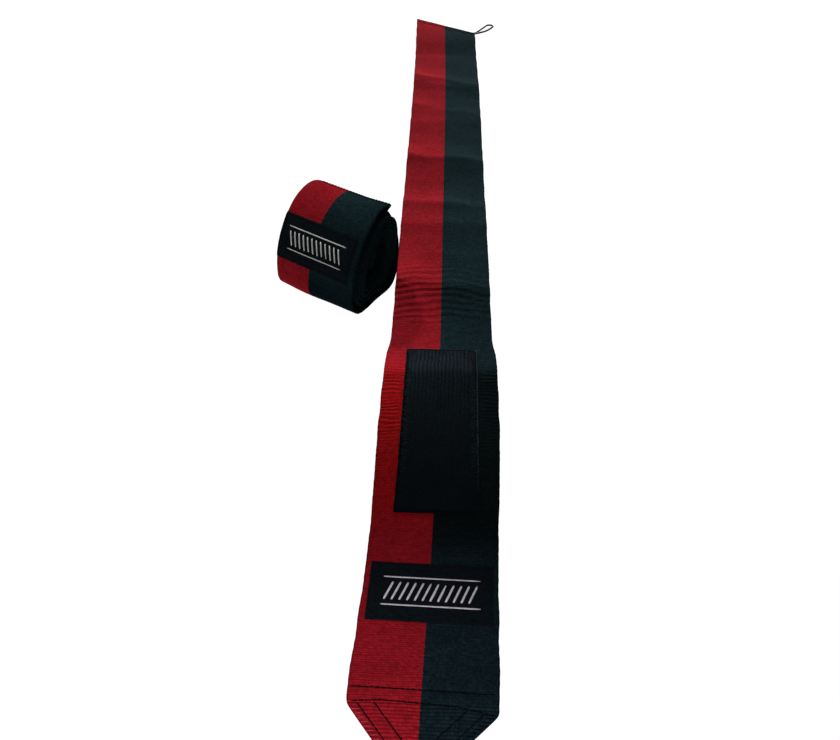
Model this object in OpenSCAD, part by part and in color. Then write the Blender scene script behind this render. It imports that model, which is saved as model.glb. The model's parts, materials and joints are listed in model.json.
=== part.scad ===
// A pair of elastic hand wraps with thumb loops: one laid flat, one rolled up.
// Millimetres, +Z up. The flat band runs along Y, tip at -Y, thumb loop at +Y.
// s is the distance along a band from its blunt tip end, u runs across it.

/* [Band] */
// Length of one band along its middle
band_l = 902; // [800:1:1000]
// Width of the band
band_w = 76; // [60:0.5:90]
// Thickness of the elastic band
band_t = 2; // [1.4:0.1:2.4]
// Length of the tapered tip
tip_l = 32; // [24:1:40]
// Width of the blunt tip end
tip_end_w = 26; // [14:1:40]
// How far one corner of the far end is ahead of the middle
end_slant = 23.5; // [0:0.5:30]
// Depth of the folded-under end
hem_l = 12; // [8:1:16]

/* [Closure] */
// Length of the loop tape patch
patch_l = 142; // [120:1:160]
// Width of the loop tape patch
patch_w = 52; // [40:1:60]
// Woven base of the loop tape
patch_base = 0.5; // [0.4:0.1:0.8]
// Pile of the loop tape
patch_pile = 0.7; // [0.4:0.1:0.8]
// Thickness of the hook tape under the tip
hook_t = 0.9; // [0.6:0.1:1]
// Length of the hook tape under the tip
hook_l = 40; // [30:1:42]

/* [Label] */
// Length of the label along the band
label_l = 35; // [20:1:40]
// Width of the label across the band
label_w = 70; // [40:1:72]
// Thickness of the label
label_t = 0.6; // [0.3:0.1:0.8]

/* [Thumb loop] */
// Diameter of the elastic cord
cord_d = 2.2; // [2:0.1:3]

/* [Roll] */
// Long half-axis of the oval roll
roll_a = 44; // [42:0.5:48]
// Short half-axis of the oval roll
roll_b = 30; // [28:0.5:34]
// How steeply the long axis stands
roll_lean = 54; // [40:1:65]
// Height of the roll's middle
roll_zc = 34.3; // [33:0.1:36]
// Width of the band when rolled
roll_w = 74; // [70:0.5:76]
// Pitch of the turns that hold the patches
roll_p1 = 4.7; // [4.6:0.1:5]
// Pitch of the plain inner turns
roll_p2 = 3; // [2.9:0.1:3.2]

/* [Position] */
// Across: middle of the roll
roll_x = -80.2; // [-140:0.1:-80]
// Along: middle of the roll
roll_y = -34.2; // [-40:0.1:-20]
// Turn of the roll's axis
roll_yaw = -30.7; // [-35:0.1:-25]

/* [Hidden] */

RED = [0.52, 0.07, 0.10];
BLACK = [0.06, 0.08, 0.09];
SATIN = [0.09, 0.09, 0.10];
THREAD = [0.12, 0.12, 0.13];

mid_s = 400;                 // s at the row origin
folds = [128, 300, 500, 710]; // fold lines across the flat band
gap = 0.2;                   // half the gap at a fold line
patch_s = 144;               // tip-side edge of the loop patch
patch_u = 0.5;               // middle of the loop patch
label_s = 76;                // tip-side edge of the label
label_u = 0.3;               // middle of the label
raise_s = 42;                // band is lifted by the hook tape up to here
raise_l = 12;                // length of the slope behind it
th = 0.3;                    // height of a stitch line
tw = 0.8;                    // width of a stitch line

// extra half width where the sewn patches hold the band out
extra = [[0, 0.8], [40, 0.7], [100, 0.2], [128, 0.3], [170, 1.8], [215, 2.9],
    [262, 2.9], [280, 2.2], [298, 0], [1000, 0]];
function hw(s) = band_w/2 + lookup(s, extra);
function tip_hw(s) = s < tip_l
    ? tip_end_w/2 + (hw(tip_l) - tip_end_w/2)*s/tip_l : hw(s);

// ---- flat band ----
// strip through a list of [half width, s], red half and black half
module strip(st, z0, h) {
    for (m = [-1, 1]) color(m < 0 ? RED : BLACK) translate([0, 0, z0])
        linear_extrude(height = h) polygon(concat([for (p = st) [m*p[0], p[1] - mid_s]],
            [[0, st[len(st)-1][1] - mid_s], [0, st[0][1] - mid_s]]));
}
function stations(ss) = [for (s = ss) [tip_hw(s), s]];

module side_profile(pts) {
    rotate([90, 0, 90]) translate([0, 0, -60]) linear_extrude(height = 120)
        polygon([for (p = pts) [p[0] - mid_s, p[1]]]);
}

module closure_band() {
    intersection() {
        strip(stations([0, tip_l, 60, 100, folds[0] - gap]), -1, 8);
        side_profile([[-1, hook_t], [raise_s, hook_t], [raise_s + raise_l, 0],
            [folds[0] - gap, 0], [folds[0] - gap, band_t],
            [raise_s + raise_l, band_t], [raise_s, hook_t + band_t],
            [-1, hook_t + band_t]]);
    }
}
module patch_band() {
    strip(stations([folds[0] + gap, 170, 215, 262, 280, 298, folds[1] - gap]), 0, band_t);
}
module middle_band() {
    strip(stations([folds[1] + gap, folds[2] - gap]), 0, band_t);
}
module far_band() {
    strip(stations([folds[2] + gap, folds[3] - gap]), 0, band_t);
}

end_raise = band_l - end_slant - 32; // start of the slope up onto the folded end
function end_s(u) = band_l - end_slant*u/(band_w/2);
// slanted end piece from y0 (or d0 before the end) to the end line
function end_half(m, d0) = [[m*band_w/2, end_s(m*band_w/2) + d0 - mid_s], [0, end_s(0) + d0 - mid_s],
    [0, end_s(0) - mid_s], [m*band_w/2, end_s(m*band_w/2) - mid_s]];
module end_band() {
    y0 = folds[3] + gap - mid_s;
    intersection() {
        union() for (m = [-1, 1]) color(m < 0 ? RED : BLACK) translate([0, 0, -1])
            linear_extrude(height = 8) polygon([[m*band_w/2, y0], [0, y0],
                [0, end_s(0) - mid_s], [m*band_w/2, end_s(m*band_w/2) - mid_s]]);
        side_profile([[folds[3] + gap, 0], [end_raise, 0], [end_raise + 16, band_t],
            [950, band_t], [950, 2*band_t], [end_raise + 16, 2*band_t],
            [end_raise, band_t], [folds[3] + gap, band_t]]);
    }
}
module end_hem() {
    for (m = [-1, 1]) color(m < 0 ? RED : BLACK)
        linear_extrude(height = band_t) polygon(end_half(m, -hem_l));
}
// unit vectors along and out of the slanted end
end_len = norm([band_w, 2*end_slant]);
end_e = [band_w/end_len, -2*end_slant/end_len];
end_n = [-end_e[1], end_e[0]];
module along_end(u, inset, z) {
    p = [u, end_s(u) - mid_s] - inset*end_n;
    translate([p[0], p[1], z]) rotate(atan2(end_e[1], end_e[0])) children();
}
module hem_stitching() {
    color(THREAD) along_end(4.2, hem_l - 4, 2*band_t)
        translate([-41, -tw/2, 0]) cube([82, tw, th]);
}
module loop_bar_tack() {
    color(THREAD) along_end(32.5, 3.6, 2*band_t)
        translate([-4.6, -1.5, 0]) cube([9.2, 3, 0.5]);
}

// ---- thumb loop ----
// doubled cord in [out, across] from its root, middle of the end's corner
loop_route = [[1.5, 1.15], [5, 1.15], [9, 1.25], [12.5, 2], [15.5, 3.4], [18.5, 5], [22, 6.4],
    [26, 7.4], [30.5, 7.95], [35.5, 8.2], [40.2, 8.2], [42.5, 7.6], [44.3, 5.85], [44.9, 3.5],
    [44.3, 1.15], [42.5, -0.6], [40.2, -1.2], [35, -1.2], [29, -1.2], [23, -1.15], [17, -1.15],
    [11, -1.15], [6, -1.15], [1.5, -1.15]];
loop_u = 35.4;               // where the cord leaves the end
loop_root = [loop_u, end_s(loop_u) - mid_s] + 0.8*end_n;
loop_dir = [0.496, 0.868];
function tube(pts, ups, r) = let(n = len(pts), m = 8,
    tan = [for (i = [0:n-1]) let(d = pts[min(i+1, n-1)] - pts[max(i-1, 0)]) d/norm(d)],
    sid = [for (i = [0:n-1]) let(c = cross(tan[i], ups[i])) c/norm(c)],
    nrm = [for (i = [0:n-1]) cross(sid[i], tan[i])])
    [[for (i = [0:n-1]) for (j = [0:m-1]) let(a = 22.5 + 45*j)
        pts[i] + r*cos(a)*sid[i] + r*sin(a)*nrm[i]],
    concat([[for (j = [0:m-1]) j]],
        [for (i = [0:n-2]) for (j = [0:m-1]) let(k = (j+1)%m)
            [i*m+j, (i+1)*m+j, (i+1)*m+k, i*m+k]],
        [[for (j = [m-1:-1:0]) (n-1)*m+j]])];
module thumb_loop() {
    nn = [loop_dir[1], -loop_dir[0]];
    pts = [for (q = loop_route) let(p = loop_root + q[0]*loop_dir + q[1]*nn)
        [p[0], p[1], cord_d/2 + 0.12 + 0.6*max(0, 1 - q[0]/8)]];
    t = tube(pts, [for (p = pts) [0, 0, 1]], cord_d/2);
    color(BLACK) polyhedron(points = t[0], faces = t[1]);
}

// ---- patches, label and threads on the flat band ----
module slab(u0, u1, s0, s1, z0, z1) {
    translate([u0, s0 - mid_s, z0]) cube([u1 - u0, s1 - s0, z1 - z0]);
}
module loop_patch() {
    color(BLACK) {
        slab(patch_u - patch_w/2, patch_u + patch_w/2, patch_s, patch_s + patch_l,
            band_t, band_t + patch_base);
        slab(patch_u - patch_w/2 + 2, patch_u + patch_w/2 - 2, patch_s + 2,
            patch_s + patch_l - 2, band_t + patch_base - 0.1, band_t + patch_base + patch_pile);
    }
}
module frame(u0, u1, s0, s1, z0, z1) {
    difference() {
        slab(u0, u1, s0, s1, z0, z1);
        slab(u0 + tw, u1 - tw, s0 + tw, s1 - tw, z0 - 1, z1 + 1);
    }
}
module loop_patch_stitching() {
    color(THREAD) frame(patch_u - patch_w/2 + 0.6, patch_u + patch_w/2 - 0.6,
        patch_s + 0.6, patch_s + patch_l - 0.6, band_t + patch_base, band_t + patch_base + th);
}
module label() {
    color(SATIN) slab(label_u - label_w/2, label_u + label_w/2, label_s, label_s + label_l,
        band_t, band_t + label_t);
}
module label_stitching() {
    color(THREAD) frame(label_u - label_w/2 + 1, label_u + label_w/2 - 1,
        label_s + 1, label_s + label_l - 1, band_t + label_t, band_t + label_t + th);
}
// tip outline drawn in by d from the edges, up to s1
function tip_outline(d, s1) = let(h = hw(tip_l), e = tip_end_w/2,
    l = norm([h - e, tip_l]), sh = d*l/tip_l)
    [[-(e - sh + d*(h - e)/tip_l), d], [e - sh + d*(h - e)/tip_l, d],
     [h - d, tip_l + (sh - d)*tip_l/(h - e)], [h - d, s1], [-(h - d), s1],
     [-(h - d), tip_l + (sh - d)*tip_l/(h - e)]];
module hook_patch() {
    color(BLACK) linear_extrude(height = hook_t)
        polygon([for (p = tip_outline(0.8, hook_l)) [p[0], p[1] - mid_s]]);
}
// stitch rows of the tip in [u, s]: two across, two along each cut corner
tip_k = (hw(tip_l) - tip_end_w/2)/tip_l;
module tip_rows(dy) {
    for (s = [tip_l, tip_l + 6]) translate([-35, s - tw/2 + dy]) square([70, tw]);
    for (m = [-1, 1]) for (u = [33, 23.6])
        polygon([[m*(u - tw*0.8), tip_l + dy], [m*(u + tw*0.8), tip_l + dy],
            [m*(u + tw*0.8 - tip_k*(tip_l - 3)), 3 + dy], [m*(u - tw*0.8 - tip_k*(tip_l - 3)), 3 + dy]]);
}
module tip_stitching() {
    color(THREAD) translate([0, 0, hook_t + band_t]) linear_extrude(height = th) tip_rows(-mid_s);
}

// ---- rolled band ----
roll_t0 = -56;   // angle of the blunt tip end
roll_tk = 20;    // angle where the closing flap starts
roll_lift = 4.5; // how far the stiff tip stands off
roll_ecc = 0.2;  // inner turns sit a little to the back
roll_soft = 4;
roll_label_u = -2.6; // middle of the label on the rolled band
roll_base = patch_base + patch_pile;
function inset(t) = t < roll_tk ? -roll_lift*pow((roll_tk - t)/(roll_tk - roll_t0), 2)
    : t < roll_tk + 450 ? roll_p1*(t - roll_tk)/360
    : roll_p1*1.25 + roll_p2*(t - roll_tk - 450)/360;
function rest(z, f) = z > f + roll_soft ? z : z < f - roll_soft ? f
    : f + pow(z - f + roll_soft, 2)/(4*roll_soft);
// point of the oval [back, up] at angle t, n outside the band's outer face
function rp(t, n) = let(k = inset(t) - n, A = roll_a - k, B = roll_b - k)
    [A*cos(t)*cos(roll_lean) - B*sin(t)*sin(roll_lean) + roll_ecc*max(0, inset(t)),
     rest(A*cos(t)*sin(roll_lean) + B*sin(t)*cos(roll_lean) + roll_zc, roll_base + k)];
roll_n = 387;
roll_dt = 6;
rm = [for (i = [0:roll_n]) rp(roll_t0 + roll_dt*i, -band_t/2)];
cum = [for (i = 0, c = 0; i <= roll_n; c = c + (i < roll_n ? norm(rm[i+1] - rm[i]) : 0), i = i + 1) c];
s_to_i = [for (i = [0:roll_n]) [cum[i], i]];
t_to_s = [for (i = [0:roll_n]) [roll_t0 + roll_dt*i, cum[i]]];
function s_to_t(s) = roll_t0 + roll_dt*lookup(s, s_to_i);
// point on the chords of the roll, so that layers share their faces
function rs(s, n) = let(i = lookup(s, s_to_i), j = min(floor(i), roll_n - 1), f = i - j)
    rp(roll_t0 + roll_dt*j, n)*(1 - f) + rp(roll_t0 + roll_dt*(j + 1), n)*f;
function steps(s0, s1) = concat([s0], [for (c = cum) if (c > s0 + 0.01 && c < s1 - 0.01) c], [s1]);
flap_s = lookup(roll_tk, t_to_s);
uk = roll_w/band_w;

// curved slab along the roll between s0 and s1, n0 and n1, u0 and u1
module curl(s0, s1, n0, n1, u0, u1) {
    st = steps(s0, s1);
    pts = concat([for (s = st) rs(s, n1)],
        [for (i = [len(st)-1:-1:0]) rs(st[i], n0)]);
    translate([0, 0, uk*u0]) linear_extrude(height = uk*(u1 - u0)) polygon(pts);
}
module on_roll() {
    translate([roll_x, roll_y, 0]) rotate([90, 0, 90 + roll_yaw]) children();
}
module rolled_band() {
    on_roll() {
        color(RED) curl(flap_s + gap, band_l, -band_t, 0, -band_w/2, 0);
        color(BLACK) curl(flap_s + gap, band_l, -band_t, 0, 0, band_w/2);
    }
}
// straight line of the flap, for the cuts across it
fp = rs(tip_l, 0);
fe = (rs(0, 0) - fp)/norm(rs(0, 0) - fp);
fl = norm(rs(0, 0) - fp);
module on_flap() {
    multmatrix([[fe[0], 0, fe[1], fp[0]], [fe[1], 0, -fe[0], fp[1]], [0, 1, 0, 0], [0, 0, 0, 1]])
        translate([0, 0, -25]) linear_extrude(height = 50) children();
}
module corner_cuts(d) {
    on_flap() for (m = [-1, 1])
        polygon([[d*0.3, m*uk*(band_w/2 - d)], [d*0.3, m*60], [fl + 8, m*60],
            [fl + 8, m*uk*(tip_end_w/2 - d)*(1 - 8/fl*0.9)], [fl, m*uk*(tip_end_w/2 - d)]]);
}
module rolled_tip_band() {
    on_roll() difference() {
        union() {
            color(RED) curl(0, flap_s - gap, -band_t, 0, -band_w/2, 0);
            color(BLACK) curl(0, flap_s - gap, -band_t, 0, 0, band_w/2);
        }
        corner_cuts(0);
    }
}
module rolled_hook_patch() {
    color(BLACK) on_roll() difference() {
        curl(1, hook_l, -band_t - hook_t, -band_t, -band_w/2 + 1, band_w/2 - 1);
        corner_cuts(1.4);
    }
}
module rolled_tip_stitching() {
    color(THREAD) on_roll() {
        for (s = [tip_l, tip_l + 6]) curl(s - tw/2, s + tw/2, 0, th, -35, 35);
        intersection() {
            curl(3, tip_l, 0, th, -36, 36);
            on_flap() for (m = [-1, 1]) for (u = [33, 23.6])
                polygon([[-1, m*uk*(u - tw*0.8 + 0.6)], [-1, m*uk*(u + tw*0.8 + 0.6)],
                    [fl - 3, m*uk*(u + tw*0.8 - tip_k*(tip_l - 3))],
                    [fl - 3, m*uk*(u - tw*0.8 - tip_k*(tip_l - 3))]]);
        }
    }
}
module rolled_loop_patch() {
    color(BLACK) on_roll() {
        curl(patch_s, patch_s + patch_l, 0, patch_base, patch_u - patch_w/2, patch_u + patch_w/2);
        curl(patch_s + 2, patch_s + patch_l - 2, patch_base - 0.1, patch_base + patch_pile,
            patch_u - patch_w/2 + 2, patch_u + patch_w/2 - 2);
    }
}
module rolled_frame(u0, u1, s0, s1, n0) {
    curl(s0, s1, n0, n0 + th, u0, u0 + tw);
    curl(s0, s1, n0, n0 + th, u1 - tw, u1);
    curl(s0, s0 + tw, n0, n0 + th, u0 + tw, u1 - tw);
    curl(s1 - tw, s1, n0, n0 + th, u0 + tw, u1 - tw);
}
module rolled_loop_patch_stitching() {
    color(THREAD) on_roll() rolled_frame(patch_u - patch_w/2 + 0.6, patch_u + patch_w/2 - 0.6,
        patch_s + 0.6, patch_s + patch_l - 0.6, patch_base);
}
module rolled_label() {
    color(SATIN) on_roll() curl(label_s, label_s + label_l, 0, label_t,
        roll_label_u - label_w/2, roll_label_u + label_w/2);
}
module rolled_label_stitching() {
    color(THREAD) on_roll() rolled_frame(roll_label_u - label_w/2 + 1, roll_label_u + label_w/2 - 1,
        label_s + 1, label_s + label_l - 1, label_t);
}
module rolled_hem() {
    on_roll() {
        color(RED) curl(band_l - hem_l, band_l, -2*band_t, -band_t, -band_w/2, 0);
        color(BLACK) curl(band_l - hem_l, band_l, -2*band_t, -band_t, 0, band_w/2);
    }
}
module rolled_hem_stitching() {
    color(THREAD) on_roll() curl(band_l - 8, band_l - 8 + tw, 0, th, -36, 36);
}
module rolled_bar_tack() {
    color(THREAD) on_roll() curl(band_l - 6, band_l - 3, 0, 0.5, 27, 36);
}
module rolled_thumb_loop() {
    fr = [for (q = loop_route) let(t = s_to_t(band_l + 2 + q[0]),
        p = rp(t, -band_t/2 - 1), o = rp(t, band_t) - p)
        [[p[0], p[1], uk*(32 - 6*min(1, q[0]/24) + q[1])], [o[0], o[1], 0]]];
    t = tube([for (f = fr) f[0]], [for (f = fr) f[1]], cord_d/2);
    color(BLACK) on_roll() polyhedron(points = t[0], faces = t[1]);
}

closure_band();
patch_band();
middle_band();
far_band();
end_band();
end_hem();
hem_stitching();
loop_bar_tack();
thumb_loop();
loop_patch();
loop_patch_stitching();
label();
label_stitching();
hook_patch();
tip_stitching();
rolled_band();
rolled_tip_band();
rolled_hook_patch();
rolled_tip_stitching();
rolled_loop_patch();
rolled_loop_patch_stitching();
rolled_label();
rolled_label_stitching();
rolled_hem();
rolled_hem_stitching();
rolled_bar_tack();
rolled_thumb_loop();
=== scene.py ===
# A pair of elastic hand wraps: one laid flat, one rolled up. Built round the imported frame.
import json
import math

import bpy
import numpy as np
from mathutils import Matrix, Vector
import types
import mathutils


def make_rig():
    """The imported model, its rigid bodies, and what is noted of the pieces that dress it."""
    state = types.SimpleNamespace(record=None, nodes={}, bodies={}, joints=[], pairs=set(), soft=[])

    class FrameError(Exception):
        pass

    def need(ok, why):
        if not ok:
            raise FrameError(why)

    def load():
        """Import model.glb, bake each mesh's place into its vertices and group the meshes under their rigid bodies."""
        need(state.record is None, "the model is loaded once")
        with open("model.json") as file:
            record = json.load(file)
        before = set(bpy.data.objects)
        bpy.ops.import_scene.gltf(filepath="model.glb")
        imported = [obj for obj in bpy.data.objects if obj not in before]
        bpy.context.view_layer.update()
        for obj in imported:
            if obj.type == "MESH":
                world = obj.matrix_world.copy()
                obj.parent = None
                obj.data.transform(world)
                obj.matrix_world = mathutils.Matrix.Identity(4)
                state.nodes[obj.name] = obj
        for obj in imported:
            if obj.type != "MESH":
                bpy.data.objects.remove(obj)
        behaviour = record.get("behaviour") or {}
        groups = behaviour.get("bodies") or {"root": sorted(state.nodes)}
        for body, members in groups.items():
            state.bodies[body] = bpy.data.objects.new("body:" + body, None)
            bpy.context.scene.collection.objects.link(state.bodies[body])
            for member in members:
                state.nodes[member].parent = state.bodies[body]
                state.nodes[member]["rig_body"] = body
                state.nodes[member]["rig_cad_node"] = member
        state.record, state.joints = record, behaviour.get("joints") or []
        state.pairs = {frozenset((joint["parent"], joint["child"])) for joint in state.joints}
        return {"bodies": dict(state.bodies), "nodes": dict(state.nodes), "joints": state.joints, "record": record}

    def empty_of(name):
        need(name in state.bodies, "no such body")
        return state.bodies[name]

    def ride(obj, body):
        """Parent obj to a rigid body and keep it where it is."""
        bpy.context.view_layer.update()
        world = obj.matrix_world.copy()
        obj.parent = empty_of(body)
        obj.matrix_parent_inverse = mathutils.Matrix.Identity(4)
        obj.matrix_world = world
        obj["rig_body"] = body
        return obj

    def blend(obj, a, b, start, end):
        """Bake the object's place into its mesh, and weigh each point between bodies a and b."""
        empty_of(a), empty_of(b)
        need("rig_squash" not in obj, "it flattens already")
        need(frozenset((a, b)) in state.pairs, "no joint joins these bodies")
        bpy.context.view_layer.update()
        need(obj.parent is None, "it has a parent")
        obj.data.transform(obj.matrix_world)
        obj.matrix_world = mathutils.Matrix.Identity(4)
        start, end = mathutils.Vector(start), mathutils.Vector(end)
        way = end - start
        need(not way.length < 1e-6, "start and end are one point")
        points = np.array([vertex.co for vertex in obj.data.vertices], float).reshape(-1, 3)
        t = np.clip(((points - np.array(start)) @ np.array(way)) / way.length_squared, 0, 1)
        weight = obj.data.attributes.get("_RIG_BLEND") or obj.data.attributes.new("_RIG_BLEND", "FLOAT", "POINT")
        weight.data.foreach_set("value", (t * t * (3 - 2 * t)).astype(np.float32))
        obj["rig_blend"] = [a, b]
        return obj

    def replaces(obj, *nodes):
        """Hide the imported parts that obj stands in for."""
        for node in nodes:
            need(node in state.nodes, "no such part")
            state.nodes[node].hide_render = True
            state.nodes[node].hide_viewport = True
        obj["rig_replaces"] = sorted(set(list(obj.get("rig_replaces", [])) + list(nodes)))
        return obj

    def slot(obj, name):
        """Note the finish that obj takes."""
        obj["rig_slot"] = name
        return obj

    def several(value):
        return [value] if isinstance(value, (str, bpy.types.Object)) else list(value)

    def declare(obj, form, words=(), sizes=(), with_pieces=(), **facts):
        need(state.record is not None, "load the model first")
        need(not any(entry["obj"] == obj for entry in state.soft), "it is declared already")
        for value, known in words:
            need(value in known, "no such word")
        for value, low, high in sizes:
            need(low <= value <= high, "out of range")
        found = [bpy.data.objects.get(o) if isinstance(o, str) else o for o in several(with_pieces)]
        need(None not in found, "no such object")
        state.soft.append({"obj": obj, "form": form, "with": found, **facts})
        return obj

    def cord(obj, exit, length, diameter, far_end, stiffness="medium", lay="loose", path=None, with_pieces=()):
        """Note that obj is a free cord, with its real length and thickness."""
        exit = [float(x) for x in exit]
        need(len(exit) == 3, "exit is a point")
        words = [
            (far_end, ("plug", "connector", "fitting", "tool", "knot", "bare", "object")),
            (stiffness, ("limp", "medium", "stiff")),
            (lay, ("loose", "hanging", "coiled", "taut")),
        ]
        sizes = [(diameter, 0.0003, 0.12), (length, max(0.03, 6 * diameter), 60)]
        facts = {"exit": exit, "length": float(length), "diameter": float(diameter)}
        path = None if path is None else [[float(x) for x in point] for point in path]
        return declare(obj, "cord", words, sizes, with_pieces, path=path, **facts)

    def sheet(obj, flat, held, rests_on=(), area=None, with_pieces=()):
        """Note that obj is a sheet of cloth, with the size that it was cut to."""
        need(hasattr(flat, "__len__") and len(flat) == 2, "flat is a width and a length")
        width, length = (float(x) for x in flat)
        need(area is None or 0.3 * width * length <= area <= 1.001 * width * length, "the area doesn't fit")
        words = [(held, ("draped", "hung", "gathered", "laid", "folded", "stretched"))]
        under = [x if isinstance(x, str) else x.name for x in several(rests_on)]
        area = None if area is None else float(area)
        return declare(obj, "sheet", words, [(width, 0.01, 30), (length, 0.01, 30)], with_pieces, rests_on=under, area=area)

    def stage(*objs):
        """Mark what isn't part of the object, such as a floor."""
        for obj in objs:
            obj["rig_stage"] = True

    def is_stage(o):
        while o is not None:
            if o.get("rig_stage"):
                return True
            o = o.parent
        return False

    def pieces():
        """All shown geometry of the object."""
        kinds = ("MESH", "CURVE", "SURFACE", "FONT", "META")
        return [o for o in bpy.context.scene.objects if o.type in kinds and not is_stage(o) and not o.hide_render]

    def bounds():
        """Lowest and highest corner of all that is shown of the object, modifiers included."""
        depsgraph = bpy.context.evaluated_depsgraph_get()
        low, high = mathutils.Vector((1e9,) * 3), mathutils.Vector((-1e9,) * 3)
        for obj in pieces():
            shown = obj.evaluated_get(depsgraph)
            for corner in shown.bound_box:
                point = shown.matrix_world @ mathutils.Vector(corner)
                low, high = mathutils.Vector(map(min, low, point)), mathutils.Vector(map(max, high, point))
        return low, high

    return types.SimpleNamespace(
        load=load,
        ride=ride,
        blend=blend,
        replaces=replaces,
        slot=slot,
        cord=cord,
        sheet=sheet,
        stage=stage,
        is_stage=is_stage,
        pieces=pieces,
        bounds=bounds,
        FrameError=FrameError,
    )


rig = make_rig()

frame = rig.load()
cad_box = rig.bounds()
MM = 0.001
scene = bpy.context.scene

# ------------------------------------------------------------------ camera
BETA, PITCH = math.radians(2.182), math.radians(45.615)
ahead = Vector((-math.sin(BETA), math.cos(BETA), 0))
right = Vector((math.cos(BETA), math.sin(BETA), 0))
look = ahead * math.cos(PITCH) - Vector((0, 0, math.sin(PITCH)))
above = right.cross(look)
cam_data = bpy.data.cameras.new("camera")
cam_data.sensor_fit = "HORIZONTAL"
cam_data.sensor_width = 36.0
cam_data.lens = 36.0 * 730 / 840
cam_data.clip_start, cam_data.clip_end = 0.01, 50
camera = bpy.data.objects.new("camera", cam_data)
scene.collection.objects.link(camera)
turn = Matrix((right, above, -look)).transposed().to_4x4()
camera.matrix_world = Matrix.Translation((0.00170, -0.50430, 0.3791)) @ turn
scene.camera = camera


# ------------------------------------------------------------------ helpers
def sstep(a, b, x):
    t = np.clip((np.asarray(x, float) - a) / (b - a), 0, 1)
    return t * t * (3 - 2 * t)


def ripple(x, y, size, seed, terms=7):
    """Smooth repeatable unevenness, about -1 to 1, with features of about that size in mm."""
    g = np.random.default_rng(seed)
    x, y = np.broadcast_arrays(np.asarray(x, float), np.asarray(y, float))
    z = np.zeros(x.shape)
    for _ in range(terms):
        a, k, p = g.uniform(0, 6.283), 6.283 / size * g.uniform(0.6, 1.5), g.uniform(0, 6.283)
        z += np.sin(k * (x * np.cos(a) + y * np.sin(a)) + p)
    return z / (1.5 * math.sqrt(terms / 2))


def table(points):
    """A smooth curve through [x, y] points that doesn't overshoot them."""
    x, y = np.array(points, float).T
    h = np.diff(x)
    d = np.diff(y) / h
    m = np.zeros(len(x))
    m[0], m[-1] = d[0], d[-1]
    both = d[:-1] * d[1:] > 0
    m[1:-1] = np.where(both, 2 * d[:-1] * d[1:] / np.where(both, d[:-1] + d[1:], 1), 0)

    def at(q):
        q = np.asarray(q, float)
        i = np.clip(np.searchsorted(x, q) - 1, 0, len(x) - 2)
        t = np.clip((q - x[i]) / h[i], 0, 1)
        return (
            (1 + 2 * t) * (1 - t) ** 2 * y[i]
            + t * (1 - t) ** 2 * h[i] * m[i]
            + t * t * (3 - 2 * t) * y[i + 1]
            + t * t * (t - 1) * h[i] * m[i + 1]
        )

    return at


def smin(a, b, k):
    return 0.5 * (a + b - np.sqrt((a - b) ** 2 + k * k))


def new_object(name, verts, faces, mat, uv=None, flat=None, rim=None):
    me = bpy.data.meshes.new(name)
    me.from_pydata((np.asarray(verts, float) * MM).tolist(), [], faces)
    if uv is not None:
        layer = me.uv_layers.new(name="wrap")
        at = np.empty(len(me.loops), np.int32)
        me.loops.foreach_get("vertex_index", at)
        layer.uv.foreach_set("vector", np.asarray(uv, np.float32)[at].ravel())
        if rim is not None:
            layer = me.uv_layers.new(name="rim")
            rim = np.stack([np.asarray(rim, np.float32), np.zeros(len(rim), np.float32)], 1)
            layer.uv.foreach_set("vector", rim[at].ravel())
    smooth = np.ones(len(me.polygons), bool)
    if flat is not None:
        smooth[flat] = False
    me.polygons.foreach_set("use_smooth", smooth)
    me.update()
    me.materials.append(mat)
    ob = bpy.data.objects.new(name, me)
    scene.collection.objects.link(ob)
    return ob


def slab(name, top, bot, uv, mat, flip=False, rim=None):
    """A closed cloth from its upper and lower points, rows along the band and columns across it."""
    r, c = top.shape[:2]
    k, o = np.arange(r * c).reshape(r, c), r * c
    a, b, d, e = k[:-1, :-1], k[:-1, 1:], k[1:, 1:], k[1:, :-1]
    upper = np.stack([a, b, d, e], -1).reshape(-1, 4)
    lower = np.stack([a, e, d, b], -1).reshape(-1, 4) + o
    l0, l1, r0, r1 = k[:-1, 0], k[1:, 0], k[:-1, -1], k[1:, -1]
    left = np.stack([l0, l1, l1 + o, l0 + o], -1)
    rite = np.stack([r0, r0 + o, r1 + o, r1], -1)
    p, q = k[0, :-1], k[0, 1:]
    first = np.stack([p, p + o, q + o, q], -1)
    p, q = k[-1, :-1], k[-1, 1:]
    last = np.stack([p, q, q + o, p + o], -1)
    faces = np.concatenate([upper, lower, left, rite, first, last])
    if flip:
        faces = faces[:, ::-1]
    flat = np.arange(len(faces) - len(first) - len(last), len(faces))
    verts = np.concatenate([top.reshape(-1, 3), bot.reshape(-1, 3)])
    if rim is not None:
        rim = np.tile(rim.reshape(-1), 2)
    return new_object(name, verts, faces.tolist(), mat, np.tile(uv.reshape(-1, 2), (2, 1)), flat, rim)


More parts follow.
